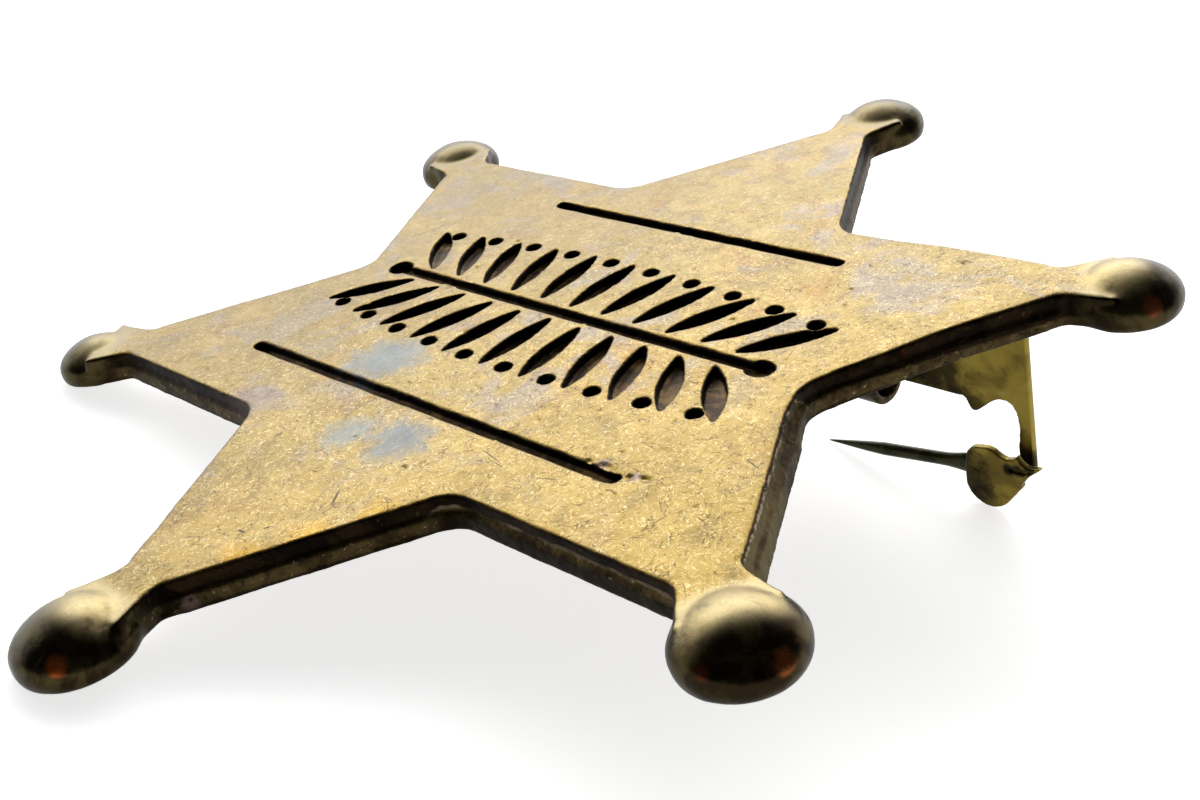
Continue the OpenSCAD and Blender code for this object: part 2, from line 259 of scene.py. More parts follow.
# and carry painted shade, painted highlights and painted dark reflection as well.
# Antique brass: cast, tumbled until its face shone, stained dark and rubbed back. The face is dull gold with
# lilac tarnish, fine curled scratches and painted shade towards the left; the walls, the sunk ornament and the
# balls' sides keep the stain,
# The real curls are a few hundredths of a millimetre wide, and are drawn coarser so that they show.
agedBrassPaintedLight = {
    "base": {"face": "#836E3A", "wall": "#15100B", "lowWall": "#362B1A", "floor": "#33271A", "back": "#4E4024",
             "ball": "#2B2316"},
    "tints": {"lilac": "#6F665E", "paintedShadeLeft": "#544527", "foot": "#100C07", "goldEnd": "#6E6238",
              "ridgeGlint": "#A8977A", "worn": "#8B7025", "ballTop": "#BCAF88", "scratch": "#1C1710"},
    "acrossB": (0.5, 0.866, 0), "farWay": (-0.78, 0.62, 0),   # across arm B, and away from the camera
    "roughDeep": 0.5, "roughPolished": 0.4, "bump": 0.000014,
    "patterns": {   # period in mm, detail, roughness, distortion
        "clouds": (11.0, 3.0, 0.5, 0.5), "blotches": (5.5, 4.0, 0.62, 1.2), "warmth": (5.0, 3.0, 0.6, 1.0),
        "haze": (3.2, 5.0, 0.6, 1.5), "mottle": (1.5, 5.0, 0.65, 0.8), "speckle": (0.38, 3.0, 0.65, 0.3),
        "curls": (0.6, 2.0, 0.5, 1.6), "darkCurls": (1.7, 2.0, 0.5, 2.2), "grain": (0.16, 2.0, 0.6, 0.0),
        "patches": (2.2, 4.0, 0.6, 0.8),
    },
    "face": [   # pattern, none at, full at, colour, share; over the base
        ("clouds", 0.42, 0.6, "#796635", 1.0), ("warmth", 0.54, 0.7, "#75531E", 0.55),
        ("haze", 0.5, 0.36, "#5A4B2D", 0.5),
        ("haze", 0.58, 0.72, "#8F7F4D", 0.6), ("mottle", 0.55, 0.7, "#907B49", 0.5),
        ("speckle", 0.57, 0.7, "#9E8A55", 0.45), ("speckle", 0.43, 0.33, "#413117", 0.45),
    ],
    "lines": [("curls", 0.012, "#B6A77E", 0.6), ("darkCurls", 0.008, "#3A2913", 0.7)],
    "wall": [("mottle", 0.4, 0.65, "#2C2114", 1.0), ("speckle", 0.6, 0.72, "#5C4226", 0.6),
             ("patches", 0.62, 0.7, "#4C2418", 0.6)],
    "lowWall": [("mottle", 0.38, 0.66, "#5E5032", 1.0), ("speckle", 0.44, 0.32, "#1E1710", 0.85),
                ("speckle", 0.6, 0.7, "#A39674", 0.7)],
    "floor": [("mottle", 0.42, 0.66, "#6B5430", 0.9), ("speckle", 0.45, 0.3, "#21180F", 0.8)],
    "back": [("blotches", 0.42, 0.62, "#6B5931", 1.0), ("mottle", 0.52, 0.72, "#7C693C", 0.6),
             ("speckle", 0.45, 0.32, "#2A2014", 0.7)],
    "ball": [("patches", 0.42, 0.6, "#4A4127", 1.0), ("mottle", 0.6, 0.75, "#6A5B34", 0.6)],
    "blots": [   # x, y, z, radius in mm, colour, share
        (-5.9, -8.4, 0, 3.4, "#525E66", 0.75), (2.4, -13.9, 0, 2.6, "#4B5862", 0.7),
        (-1.2, -14.8, 0, 2.0, "#57646B", 0.6), (-10.0, -15.4, 0, 3.0, "#63565A", 0.4),
        (14.3, -10.2, 0, 0.5, "#6E6670", 0.6), (16.6, -10.3, 0, 0.5, "#6E6670", 0.5),
        # the black blot by ball A's neck is painted dark reflection
        (1.9, -28.7, -0.9, 1.1, "#0B0906", 0.9), (2.3, -27.7, -1.5, 0.6, "#6A5856", 0.7),
        (2.25, -34.7, -0.35, 0.75, "#E07238", 0.8), (2.1, -34.5, 0.05, 0.4, "#C8622F", 0.7),
        (28.5, -19.1, -0.4, 0.6, "#8A4A2A", 0.5), (31.0, -16.6, -0.5, 0.8, "#C8703A", 0.65),
        (30.3, 14.5, 0.1, 0.9, "#B8603A", 0.75),
    ],
    "goldEdge": [(7.2, -19.0, 0, 1.7, "#94741A", 0.6), (5.4, -22.0, 0, 1.8, "#94721A", 0.7),
                 (3.6, -25.1, 0, 1.8, "#8A6812", 0.75)],
    "scratches": [   # x, y, angle, half length and half width in mm
        (3.7, -19.2, -55, 1.0, 0.1), (12.6, -12.6, 20, 0.9, 0.05), (8.3, -12.5, -12, 1.3, 0.05),
        (21.1, -6.76, -18, 0.7, 0.05), (1.6, -23.65, 6, 0.4, 0.08), (2.6, -22.75, 51, 0.28, 0.09),
        (20.8, -6.5, 20, 0.4, 0.035), (-0.5, -25.4, 33, 0.8, 0.04), (9.4, -12.9, -8, 0.8, 0.04),
        (20.2, -12.3, 80, 0.6, 0.04), (6.0, -21.3, 35, 0.8, 0.04),
    ],
    "spans": {   # from, to, least, most; from and to are mm, how far a face looks up, or a noise's value
        "ball": (29.4, 30.6), "besideB": (0.0, 1.0), "pastA": (-17.6, -16.4), "pastNotch": (17.4, 18.0),
        "lilac": (0.5, 0.65), "lilacMost": (-18.0, -8.0, 0.15, 0.75), "paintedShadeLeft": (6.0, -12.0, 0.0, 0.3),
        "crisp": (-4.0, 20.0, 1.0, 0.35), "lowWall": (-0.88, -1.05), "lighter": (-0.12, -0.3),
        "foot": (-0.8, -1.15, 0.0, 0.85), "rim": (-1.55, -1.8, 0.0, 0.75), "goldEnd": (22.0, 27.0, 0.0, 0.6),
        "glint": (0.46, 0.56), "broken": (0.4, 0.62, 0.0, 0.45), "back": (-0.6, -0.92), "steep": (0.8, 0.45),
        "worn": (0.99, 0.93, 0.0, 0.6), "deep": (-0.12, -0.34), "turned": (1.12, 1.0), "rubbedAndHighlit": (0.98, 1.2),
        "inward": (33.8, 32.0), "scratch": (1.0, 0.5, 0.0, 0.85), "rough": (0.3, 0.7, 0.26, 0.4),
        "ballRough": (0.35, 0.65, 0.2, 0.34), "calm": (0.0, 1.0, 1.0, 0.25),
    },
}


def brassCasting():
    look = agedBrassPaintedLight
    base = {name: linear(code) for name, code in look["base"].items()}
    tints = {name: linear(code) for name, code in look["tints"].items()}
    spans = {name: dict(enumerate(values, 1)) for name, values in look["spans"].items()}
    material, tree, shader = newMaterial("agedBrassPaintedLight")
    place, facing = flatBadge(tree)
    patterns = patternsOf(tree, place, look["patterns"])
    x, y, level = add(tree, "SeparateXYZ", {0: place}).node.outputs
    flatPlace = add(tree, "VectorMath", {0: place, 1: (1, 1, 0)}, operation="MULTIPLY")
    out = add(tree, "VectorMath", {0: flatPlace}, 1, operation="LENGTH")
    onBall = add(tree, "MapRange", {0: out, **spans["ball"]}, interpolation_type="SMOOTHSTEP")
    shift = add(tree, "Math", {0: patterns["mottle"], 1: 0.5, 2: -0.25}, operation="MULTIPLY_ADD")
    ragged = add(tree, "Math", {0: level, 1: shift}, operation="ADD")   # height with a ragged edge

    # arm B's two walls differ: the lower one, turned from the light, is painted darker as shade; the upper one
    # is painted lighter, as lit
    acrossB = add(tree, "VectorMath", {0: place, 1: look["acrossB"]}, 1, operation="DOT_PRODUCT")
    right = add(tree, "Math", {0: x, 1: 7.0}, operation="SUBTRACT")   # from the notch between arms A and B
    below = add(tree, "Math", {0: acrossB, 1: -1.0}, operation="MULTIPLY")
    below = add(tree, "Math", {0: right, 1: below}, operation="MINIMUM")
    below = add(tree, "MapRange", {0: below, **spans["besideB"]}, interpolation_type="SMOOTHSTEP")
    notA = add(tree, "MapRange", {0: y, **spans["pastA"]}, interpolation_type="SMOOTHSTEP")
    shadedUnderB = add(tree, "Math", {0: below, 1: notA}, operation="MULTIPLY")
    low = add(tree, "Math", {0: y, 1: -1.0}, operation="MULTIPLY")
    over = add(tree, "Math", {0: acrossB, 1: low}, operation="MINIMUM")
    over = add(tree, "MapRange", {0: over, **spans["besideB"]}, interpolation_type="SMOOTHSTEP")
    outside = add(tree, "MapRange", {0: out, **spans["pastNotch"]}, interpolation_type="SMOOTHSTEP")
    litOverB = add(tree, "Math", {0: over, 1: outside}, operation="MULTIPLY")

    face = layered(tree, base["face"], patterns, look["face"])
    farSide = add(tree, "VectorMath", {0: place, 1: look["farWay"]}, 1, operation="DOT_PRODUCT")
    lilac = add(tree, "MapRange", {0: patterns["blotches"], **spans["lilac"]}, interpolation_type="SMOOTHSTEP")
    lilacMost = add(tree, "MapRange", {0: farSide, **spans["lilacMost"]})
    lilac = add(tree, "Math", {0: lilac, 1: lilacMost}, operation="MULTIPLY")
    face = add(tree, "Mix", {0: lilac, 6: face, 7: tints["lilac"]}, 2, data_type="RGBA")
    face = blotted(tree, face, place, patterns["mottle"], look["goldEdge"])
    # painted shade: the face darkens towards the left
    paintedShadeLeft = add(tree, "MapRange", {0: x, **spans["paintedShadeLeft"]})
    face = add(tree, "Mix", {0: paintedShadeLeft, 6: face, 7: tints["paintedShadeLeft"]}, 2, data_type="RGBA")
    crisp = add(tree, "MapRange", {0: farSide, **spans["crisp"]})   # lines, ball-top paling and bumps fade towards the far left
    for pattern, width, code, most in look["lines"]:
        line = add(tree, "Math", {0: patterns[pattern], 1: 0.5, 2: width}, operation="COMPARE")
        share = add(tree, "Math", {0: line, 1: most}, operation="MULTIPLY")
        share = add(tree, "Math", {0: share, 1: crisp}, operation="MULTIPLY")
        face = add(tree, "Mix", {0: share, 6: face, 7: linear(code)}, 2, data_type="RGBA")
    wall = layered(tree, base["wall"], patterns, look["wall"])
    lowWall = layered(tree, base["lowWall"], patterns, look["lowWall"])
    floor = layered(tree, base["floor"], patterns, look["floor"])
    ridged = add(tree, "Math", {0: shadedUnderB, 1: -0.3, 2: ragged}, operation="MULTIPLY_ADD")   # a higher ridge
    lowShare = add(tree, "MapRange", {0: ridged, **spans["lowWall"]}, interpolation_type="SMOOTHSTEP")
    # painted light: on arm B's upper wall the lighter lower-wall colour reaches almost up to the face
    lighter = add(tree, "MapRange", {0: ragged, **spans["lighter"]}, interpolation_type="SMOOTHSTEP")
    lighter = add(tree, "Math", {0: litOverB, 1: lighter}, operation="MULTIPLY")
    lowShare = add(tree, "Math", {0: lowShare, 1: lighter}, operation="MAXIMUM")
    wall = add(tree, "Mix", {0: lowShare, 6: wall, 7: lowWall}, 2, data_type="RGBA")
    # painted shade: low on arm B's lower wall, turned from the light, the wall turns near black; the same tint
    # also draws a dark line along every wall's bottom edge
    foot = add(tree, "MapRange", {0: ragged, **spans["foot"]}, interpolation_type="SMOOTHSTEP")
    foot = add(tree, "Math", {0: foot, 1: shadedUnderB}, operation="MULTIPLY")
    rim = add(tree, "MapRange", {0: ragged, **spans["rim"]}, interpolation_type="SMOOTHSTEP")
    foot = add(tree, "Math", {0: foot, 1: rim}, operation="MAXIMUM")
    wall = add(tree, "Mix", {0: foot, 6: wall, 7: tints["foot"]}, 2, data_type="RGBA")
    # painted light: towards ball B the lit upper wall turns gold
    goldEnd = add(tree, "MapRange", {0: out, **spans["goldEnd"]}, interpolation_type="SMOOTHSTEP")
    goldEnd = add(tree, "Math", {0: goldEnd, 1: lighter}, operation="MULTIPLY")
    wall = add(tree, "Mix", {0: goldEnd, 6: wall, 7: tints["goldEnd"]}, 2, data_type="RGBA")
    # painted highlight: glints along arm B's upper edge, and a fainter broken line of them along its lower wall
    highlightAt = add(tree, "Math", {0: litOverB, 1: -0.68, 2: ridged}, operation="MULTIPLY_ADD")
    ridgeHighlight = add(tree, "Math", {0: highlightAt, 1: -0.93, 2: 0.09}, operation="COMPARE")   # where, half width
    glint = add(tree, "MapRange", {0: patterns["speckle"], **spans["glint"]})
    glint = add(tree, "Math", {0: glint, 1: litOverB}, operation="MULTIPLY")
    broken = add(tree, "MapRange", {0: patterns["haze"], **spans["broken"]})
    faint = add(tree, "Math", {0: shadedUnderB, 1: broken}, operation="MULTIPLY")
    glint = add(tree, "Math", {0: glint, 1: faint}, operation="MAXIMUM")
    ridgeHighlight = add(tree, "Math", {0: ridgeHighlight, 1: glint}, operation="MULTIPLY")
    wall = add(tree, "Mix", {0: ridgeHighlight, 6: wall, 7: tints["ridgeGlint"]}, 2, data_type="RGBA")
    back = layered(tree, base["back"], patterns, look["back"])
    backShare = add(tree, "MapRange", {0: facing, **spans["back"]}, interpolation_type="SMOOTHSTEP")
    wall = add(tree, "Mix", {0: backShare, 6: wall, 7: back}, 2, data_type="RGBA")
    steep = add(tree, "MapRange", {0: facing, **spans["steep"]}, interpolation_type="SMOOTHSTEP")
    worn = add(tree, "MapRange", {0: facing, **spans["worn"]}, interpolation_type="SMOOTHSTEP")
    face = add(tree, "Mix", {0: worn, 6: face, 7: tints["worn"]}, 2, data_type="RGBA")
    deep = add(tree, "MapRange", {0: ragged, **spans["deep"]}, interpolation_type="SMOOTHSTEP")
    turned = add(tree, "Math", {0: patterns["mottle"], 1: 0.4, 2: facing}, operation="MULTIPLY_ADD")
    turned = add(tree, "MapRange", {0: turned, **spans["turned"]}, interpolation_type="SMOOTHSTEP")
    deep = add(tree, "Math", {0: deep, 1: turned}, operation="MAXIMUM")
    # steep faces take the dark wall colour and sunk floors the lighter floor colour: the ornament's walls are
    # dark with patina and painted shade
    sunk = add(tree, "Mix", {0: steep, 6: floor, 7: wall}, 2, data_type="RGBA")
    plate = add(tree, "Mix", {0: deep, 6: face, 7: sunk}, 2, data_type="RGBA")

    # the balls are dark with stain and painted dark reflection; only on top, towards their necks, are they
    # rubbed bare and painted paler as a highlight
    ballTop = add(tree, "Mix", {0: 0.5, 6: face, 7: tints["ballTop"]}, 2, data_type="RGBA")
    ball = layered(tree, base["ball"], patterns, look["ball"])
    rubbedAndHighlit = add(tree, "Math", {0: patterns["mottle"], 1: 0.5, 2: facing}, operation="MULTIPLY_ADD")
    rubbedAndHighlit = add(tree, "MapRange", {0: rubbedAndHighlit, **spans["rubbedAndHighlit"]}, interpolation_type="SMOOTHSTEP")
    inward = add(tree, "MapRange", {0: out, **spans["inward"]}, interpolation_type="SMOOTHSTEP")
    rubbedAndHighlit = add(tree, "Math", {0: rubbedAndHighlit, 1: inward}, operation="MULTIPLY")
    rubbedAndHighlit = add(tree, "Math", {0: rubbedAndHighlit, 1: crisp}, operation="MULTIPLY")
    ball = add(tree, "Mix", {0: rubbedAndHighlit, 6: ball, 7: ballTop}, 2, data_type="RGBA")
    colour = add(tree, "Mix", {0: onBall, 6: plate, 7: ball}, 2, data_type="RGBA")
    colour = blotted(tree, colour, place, patterns["mottle"], look["blots"])
    for across, along, angle, half, width in look["scratches"]:
        within = add(tree, "Mapping", {
            0: place, 1: (across, along, 0), 2: (0, 0, math.radians(angle)), 3: (half, width, 1),
        }, vector_type="TEXTURE")
        away = add(tree, "VectorMath", {0: within}, 1, operation="LENGTH")
        share = add(tree, "MapRange", {0: away, **spans["scratch"]})
        colour = add(tree, "Mix", {0: share, 6: colour, 7: tints["scratch"]}, 2, data_type="RGBA")
    tree.links.new(colour, shader.inputs["Base Color"])
    shader.inputs["Metallic"].default_value = 1.0

    rough = add(tree, "MapRange", {0: patterns["mottle"], **spans["rough"]})
    rough = add(tree, "Mix", {0: deep, 2: rough, 3: look["roughDeep"]}, data_type="FLOAT")
    ballRough = add(tree, "MapRange", {0: patterns["patches"], **spans["ballRough"]})
    ballRough = add(tree, "Mix", {0: rubbedAndHighlit, 2: ballRough, 3: look["roughPolished"]}, data_type="FLOAT")
    rough = add(tree, "Mix", {0: onBall, 2: rough, 3: ballRough}, data_type="FLOAT")
    tree.links.new(rough, shader.inputs["Roughness"])

    calm = add(tree, "MapRange", {0: onBall, **spans["calm"]})
    calm = add(tree, "Math", {0: calm, 1: crisp}, operation="MULTIPLY")
    bumps = add(tree, "Math", {0: patterns["speckle"], 1: 0.7, 2: patterns["grain"]}, operation="MULTIPLY_ADD")
    bumps = add(tree, "Math", {0: patterns["curls"], 1: 0.6, 2: bumps}, operation="MULTIPLY_ADD")
    bump = add(tree, "Bump", {"Height": bumps, "Strength": calm, "Distance": look["bump"]})
    tree.links.new(bump, shader.inputs["Normal"])
    return material


# Stamped sheet brass, 0.5 mm, never polished: olive brown, with hardly any grain.
sheetBrass = {
    "patterns": {"blotches": (3.2, 3.0, 0.55, 0.5), "mottle": (0.9, 4.0, 0.6, 0.6),
                 "grain": (0.18, 3.0, 0.65, 0.0)},
    "base": "#A08C3E", "rough": (0.3, 0.46), "bump": 0.00002,
    "layers": [("blotches", 0.44, 0.64, "#5E4F22", 0.8), ("mottle", 0.42, 0.28, "#3A2E16", 0.5),
               ("mottle", 0.58, 0.74, "#B3A35C", 0.5), ("grain", 0.6, 0.75, "#C6BC80", 0.25)],
    "blots": [   # painted shade: on the web under the star's back (there with some stain), on the catch, on the near plate of the foot, in its crease, and on the leg
        (17.4, 13, -6.3, 3.0, "#1A150D", 0.9), (15.0, 13, -6.0, 3.2, "#17120B", 0.95),
        (19.6, 13, -8.2, 1.5, "#241C11", 0.8), (13.0, 11.6, -7.6, 3.4, "#17120B", 0.92),
        (19.7, 11.6, -12.1, 2.5, "#1C160D", 0.9), (19.4, 11.6, -10.2, 1.6, "#1C160D", 0.85),
        (20.6, 11.6, -14.0, 1.8, "#1F190F", 0.85), (22.6, 11.6, -10.9, 0.6, "#0E0B07", 0.95),
        (23.3, 11.6, -10.8, 0.55, "#0E0B07", 0.95), (24.0, 11.6, -10.65, 0.5, "#15110A", 0.9),
        (22.4, 13, -9.3, 0.8, "#2A2213", 0.8), (22.4, 13, -10.2, 0.8, "#2A2213", 0.8),
        (23.2, 13, -11.0, 1.1, "#17120B", 0.9),
    ],
}
# Drawn brass wire, nearly black: dark olive with a faint sheen along its length.
needleWire = {
    "patterns": {"blotches": (2.0, 3.0, 0.55, 0.4), "mottle": (0.6, 4.0, 0.6, 0.4),
                 "grain": (0.14, 3.0, 0.65, 0.0)},
    "base": "#3A3B2A", "rough": (0.26, 0.42), "bump": 0.00001,
    "layers": [("blotches", 0.45, 0.65, "#26261C", 0.9), ("mottle", 0.58, 0.74, "#6C6A48", 0.6),
               ("grain", 0.6, 0.75, "#8E8A64", 0.2)],
    "blots": [],
}
# Rivet brass, as dark as the painted shade of the knuckle around it, with a few rubbed spots on its cut end.
rivetBrass = {
    "patterns": {"blotches": (0.8, 3.0, 0.55, 0.4), "mottle": (0.3, 4.0, 0.6, 0.4),
                 "grain": (0.1, 3.0, 0.65, 0.0)},
    "base": "#3E3319", "rough": (0.28, 0.45), "bump": 0.00001,
    "layers": [("blotches", 0.42, 0.62, "#241C10", 0.8), ("mottle", 0.6, 0.76, "#8A7A44", 0.4)],
    "blots": [],
}


def plainBrass(name, look):
    material, tree, shader = newMaterial(name)
    place, facing = flatBadge(tree)
    patterns = patternsOf(tree, place, look["patterns"])
    colour = layered(tree, linear(look["base"]), patterns, look["layers"])
    colour = blotted(tree, colour, place, patterns["mottle"], look["blots"])
    tree.links.new(colour, shader.inputs["Base Color"])
    shader.inputs["Metallic"].default_value = 1.0
    low, high = look["rough"]
    rough = add(tree, "MapRange", {0: patterns["mottle"], 1: 0.3, 2: 0.7, 3: low, 4: high})
    tree.links.new(rough, shader.inputs["Roughness"])
    bump = add(tree, "Bump", {"Height": patterns["grain"], "Strength": 1.0, "Distance": look["bump"]})
    tree.links.new(bump, shader.inputs["Normal"])
    return material


castBrass = brassCasting()
pinSheet = plainBrass("sheetBrass", sheetBrass)
rivetEnd = plainBrass("rivetBrass", rivetBrass)
pinWire = plainBrass("needleWire", needleWire)
print("materials made")

# Star
star = {
    "plate": 2.0, "notchAt": 18.2, "tipAt": 31.522, "notchTouch": 1.1547,
    "ledgeOut": 0.22, "ledgeTall": 1.05,
    "neck": 3.4, "neckFrom": 24.0, "flareFrom": 29.2, "flareTo": 31.6, "flare": 1.5,
    "voxel": 0.12, "soften": 6, "neckSoften": 16, "neckSpan": (28.2, 31.2), "bodyKeep": 0.12,
    "fineVoxel": 0.1, "keep": 0.17,
    "uneven": [("slowWaves", 2.6, 0.07, ""), ("castWalls", 1.2, 0.1, "walls"),   # name, period, swing, where
               ("wallGrit", 0.4, 0.05, "walls")],
    "ballsFrom": 29.6, "ballsUneven": 0.2, "wallFrom": 0.85, "wallOver": 0.5, "grades": 4,
    "ball": {"crown": 4.058, "crownAt": -3.408, "rim": 1.35, "rimOut": 1.7, "rimAt": -1.3},
    "balls": {   # angle, distance from the middle, size, height
        "A": (-90, 32.74, 1.07, 1.0), "B": (-30, 32.34, 1.03, 1.0), "C": (30, 32.1, 0.96, 1.0),
        "D": (90, 32.6, 0.97, 1.0), "E": (150, 32.6, 1.0, 1.0), "F": (-150, 32.3, 0.88, 0.87),
    },
    "lift": 0.38, "liftFrom": 17.5, "liftTo": 24.0,       # arm C stands a little higher than the others
    "draft": 0.5, "draftFrom": (18.2, 0.0), "draftEnds": (0.3, 3.3, 14.0, 17.0),   # arm B's upper wall
    "pulls": [(18.3, 0.0, 3.0, (0.3, 0.0, 0.0))],         # x, y, radius and move of a shallower notch
}


# the places of a mesh's vertices, one row each
def placesOf(thing):
    places = np.empty(len(thing.data.vertices) * 3)
    thing.data.vertices.foreach_get("co", places)
    return places.reshape(-1, 3)


def putPlaces(thing, co):
    thing.data.vertices.foreach_set("co", co.ravel())
    thing.data.update()


# bends arm C up, as on the real badge
def bent(co, lift=1.0):
    ahead = np.clip((co @ (0.8660254, 0.5, 0) - star["liftFrom"]) / (star["liftTo"] - star["liftFrom"]), 0, 1)
    co[:, 2] += star["lift"] * lift * ahead ** 2 * (3 - 2 * ahead)


# leans arm B's upper wall outwards towards its foot, and fills one notch a little
def leanedOut(co):
    startX, startY = star["draftFrom"]
    a, b, c, d = star["draftEnds"]
    along = (co[:, 0] - startX) * 0.5 - (co[:, 1] - startY) * 0.8660254
    outward = (co[:, 0] - startX) * 0.8660254 + (co[:, 1] - startY) * 0.5
    share = np.clip((along - a) / (b - a), 0, 1) * np.clip((d - along) / (d - c), 0, 1)
    share *= np.clip((outward + 2.5) / 2.2, 0, 1) * np.clip(-co[:, 2] / star["plate"], 0, 1)
    co[:, :2] += star["draft"] * share[:, None] * (0.8660254, 0.5)
    for x, y, radius, move in star["pulls"]:
        away = np.hypot(co[:, 0] - x, co[:, 1] - y) / radius
        co += np.clip(1 - away ** 2, 0, 1)[:, None] ** 2 * move


# the six-point plate, with its notches rounded
def starPlate(name, grow, low, high):
    deselect()
    bpy.ops.mesh.primitive_circle_add(vertices=12, radius=star["notchAt"] + grow / math.sin(math.radians(60)),
                                      fill_type="NGON", location=(0, 0, low))
    thing = named(name)
    applyPlace(thing)
    reach = (star["tipAt"] + grow / math.sin(math.radians(30))) / thing.data.vertices[0].co.xy.length
    pickParts(thing, "VERT", lambda p, n: round(math.degrees(math.atan2(p.y, p.x)) / 30) % 2)
    bpy.ops.transform.resize(value=(reach, reach, 1), center_override=(0, 0, low))
    pickParts(thing, "VERT", lambda p, n: p.xy.length < star["tipAt"] * 0.8)
    bpy.ops.mesh.bevel(offset=star["notchTouch"], segments=10, affect="VERTICES")
    bpy.ops.mesh.select_all(action="SELECT")
    bpy.ops.mesh.extrude_region_move(TRANSFORM_OT_translate={"value": (0, 0, high - low)})
    mergeAndTurnOut(thing)
    return thing


# a flattened ball, spun from its section, and the neck that it sits on
def starBall(name, angle, at, size, tall):
    b = star["ball"]
    turnover = math.atan2(b["rimAt"] - b["crownAt"], b["rimOut"])
    bottom = math.asin((-star["plate"] - b["rimAt"]) / b["rim"])
    points = [(b["crown"] * math.cos(a), b["crownAt"] + b["crown"] * math.sin(a))
              for a in np.linspace(math.pi / 2, turnover, 16)]
    points += [(b["rimOut"] + b["rim"] * math.cos(a), b["rimAt"] + b["rim"] * math.sin(a))
               for a in np.linspace(turnover, bottom, 24)[1:]]
    points += [(0, -star["plate"])]
    deselect()
    bpy.ops.mesh.primitive_circle_add(vertices=len(points), radius=1)
    thing = named(name)
    for v, (out, level) in zip(thing.data.vertices, points):
        v.co = (out * size, 0, (level + star["plate"]) * tall - star["plate"])
    pickParts(thing, "EDGE", lambda m, d: m.x < 1e-6)
    bpy.ops.mesh.delete(type="EDGE")
    bpy.ops.mesh.select_all(action="SELECT")
    bpy.ops.mesh.spin(steps=96, angle=math.tau, center=(0, 0, 0), axis=(0, 0, 1))
    mergeAndTurnOut(thing, 0.001)
    thing.location = (at * math.cos(math.radians(angle)), at * math.sin(math.radians(angle)), 0)
    thing.rotation_euler = (0, 0, math.radians(angle))
    applyPlace(thing)
    return thing


# the bar between an arm and its ball, a little wider at the ball
def starNeck(name, angle):
    deselect()
    run = star["flareFrom"] - star["neckFrom"]
    bpy.ops.mesh.primitive_cube_add(size=1, location=(star["neckFrom"] + run / 2, 0, -star["plate"] / 2),
                                    scale=(run, star["neck"], star["plate"]))
    thing = named(name)
    applyPlace(thing)
    pickParts(thing, "FACE", lambda p, n: n.x > 0.9)
    bpy.ops.mesh.extrude_region_move(
        TRANSFORM_OT_translate={"value": (star["flareTo"] - star["flareFrom"], 0, 0)})
    bpy.ops.transform.resize(value=(1, star["flare"], 1),
                             center_override=(star["flareTo"], 0, -star["plate"] / 2))
    bpy.ops.object.mode_set(mode="OBJECT")
    thing.rotation_euler = (0, 0, math.radians(angle))
    applyPlace(thing)
    return thing


parts = [starPlate("plate", 0, -star["plate"], 0),
         starPlate("ledge", star["ledgeOut"], -star["plate"], star["ledgeTall"] - star["plate"])]
for key, (angle, at, size, tall) in star["balls"].items():
    parts += [starBall("ball" + key, angle, at, size, tall), starNeck("neck" + key, angle)]
starPiece = join(parts, "starCasting")
modify(starPiece, "REMESH", mode="VOXEL", voxel_size=star["voxel"])
modify(starPiece, "SMOOTH", factor=0.5, iterations=star["soften"])
co = placesOf(starPiece)
out = np.hypot(co[:, 0], co[:, 1])
onNecks = (out > star["neckSpan"][0]) & (out < star["neckSpan"][1])
necks = starPiece.vertex_groups.new(name="necks")
necks.add([int(i) for i in np.nonzero(onNecks)[0]], 1.0, "REPLACE")
modify(starPiece, "SMOOTH", factor=0.5, iterations=star["neckSoften"], vertex_group="necks")
starPiece.vertex_groups.clear()
modify(starPiece, "DECIMATE", ratio=star["bodyKeep"])
print("star body")

# Sunk ornament
sunk = {
    "depth": 0.6, "line": 0.8, "upper": (24.4, 12.1), "lower": (32.2, -10.9),
    "sprayAt": 0.5, "stem": 15.2, "stemWide": 0.8, "leaf": 6.0, "leafWide": 1.3, "steps": 6, "pitch": 2.6,
    "lean": 8, "berry": 0.5, "root": 0.7, "berryOut": 6.22,
    "edge": 0.06, "over": 0.12,   # a cutter's top is drawn up from just under the face to just over it
}


# a prism with this outline, from the sunk floor to a little over the face
def cutterFrom(points, name):
    deselect()
    bpy.ops.mesh.primitive_circle_add(vertices=len(points), radius=1, fill_type="NGON")
    thing = named(name)
    for v, p in zip(thing.data.vertices, points):
        v.co = (p[0], p[1], -sunk["edge"])
    bpy.ops.object.mode_set(mode="EDIT")
    bpy.ops.mesh.select_all(action="SELECT")
    bpy.ops.mesh.extrude_region_move(TRANSFORM_OT_translate={"value": (0, 0, sunk["edge"] - sunk["depth"])})
    mergeAndTurnOut(thing)
    pickParts(thing, "FACE", lambda c, n: n.z > 0.9)
    bpy.ops.mesh.extrude_region_move(TRANSFORM_OT_translate={"value": (0, 0, sunk["over"])})
    bpy.ops.object.mode_set(mode="OBJECT")
    return thing


# outline of a line with round ends
def stadium(length, width, steps=10):
    r, half = width / 2, length / 2 - width / 2
    rightEnd = [(half + r * math.cos(a), r * math.sin(a))
                for a in np.linspace(-math.pi / 2, math.pi / 2, steps)]
    return rightEnd + [(-x, -y) for x, y in rightEnd]


# two arcs that meet in sharp points
def leafOutline(steps=12):
    r = (sunk["leaf"] ** 2 + sunk["leafWide"] ** 2) / (4 * sunk["leafWide"])
    half = math.asin(sunk["leaf"] / 2 / r)
    top = [(sunk["leaf"] / 2 + r * math.sin(a), r * math.cos(a) - r + sunk["leafWide"] / 2)
           for a in np.linspace(-half, half, steps)]
    return top + [(x, -y) for x, y in reversed(top[1:-1])]


